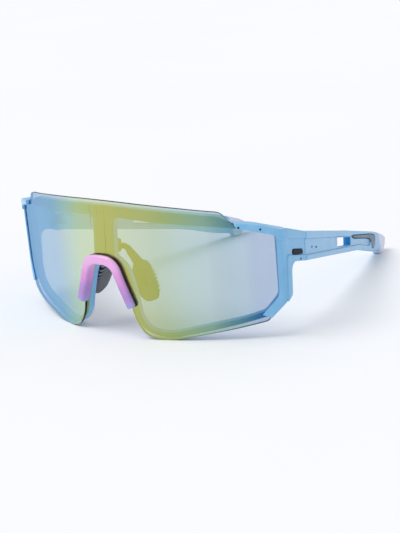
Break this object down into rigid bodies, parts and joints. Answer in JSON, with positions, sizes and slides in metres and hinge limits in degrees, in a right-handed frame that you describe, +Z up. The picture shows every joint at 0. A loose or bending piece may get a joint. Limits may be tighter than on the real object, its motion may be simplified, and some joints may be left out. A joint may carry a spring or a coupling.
{
  "type": "wraparound sport sunglasses",
  "caption": "Wraparound sport sunglasses with a mirrored shield lens held in a hooked frame, a nose clip with bendable pads, and two folding temples.",
  "frame": {"origin": "on the surface the glasses stand on, under the middle of the whole object", "axes": "+Z up, the lens faces -Y, +X is the wearer's left"},
  "size_m": [0.146, 0.1762, 0.0592],
  "materials": {
    "lens_mirror": "mirror coated polycarbonate, gold-green to blue",
    "frame_blue": "satin sky blue with black paint specks",
    "clip_pink": "satin pink fading to lavender",
    "rubber_black": "soft matt rubber",
    "rubber_grey": "soft matt rubber",
    "tip_lilac": "satin soft plastic",
    "steel": "plain steel",
    "badge_dark": "plain dark inlay"
  },
  "bodies": {
    "front": {"lens_shield": "lens_mirror", "front_frame": "frame_blue", "nose_clip": "clip_pink", "nose_clip_gasket": "rubber_black", "nose_saddle": "rubber_black", "badge_left": "badge_dark", "badge_right": "badge_dark", "hinge_screw_left": "steel", "hinge_nut_left": "steel", "hinge_screw_right": "steel", "hinge_nut_right": "steel"},
    "arm_left": {"temple_left": "frame_blue", "temple_grip_left": "rubber_grey", "tip_sock_left": "tip_lilac"},
    "arm_right": {"temple_right": "frame_blue", "temple_grip_right": "rubber_grey", "tip_sock_right": "tip_lilac"},
    "pad_left": {"nose_arm_left": "rubber_black", "nose_wire_left": "steel", "nose_pad_left": "rubber_black"},
    "pad_right": {"nose_arm_right": "rubber_black", "nose_wire_right": "steel", "nose_pad_right": "rubber_black"}
  },
  "joints": [
    {"name": "temple_left_fold", "type": "hinge", "parent": "front", "child": "arm_left", "pos_m": [0.06413, -0.03577, 0.0351], "axis": [0, 0, 1], "range_deg": [0, 86]},
    {"name": "temple_right_fold", "type": "hinge", "parent": "front", "child": "arm_right", "pos_m": [-0.06413, -0.03577, 0.0351], "axis": [0, 0, -1], "range_deg": [0, 76]},
    {"name": "nose_pad_left_bend", "type": "hinge", "parent": "front", "child": "pad_left", "pos_m": [0.00352, -0.07697, 0.03915], "axis": [0, -1, 0], "range_deg": [-5, 8]},
    {"name": "nose_pad_right_bend", "type": "hinge", "parent": "front", "child": "pad_right", "pos_m": [-0.00352, -0.07697, 0.03915], "axis": [0, 1, 0], "range_deg": [-5, 8]}
  ]
}
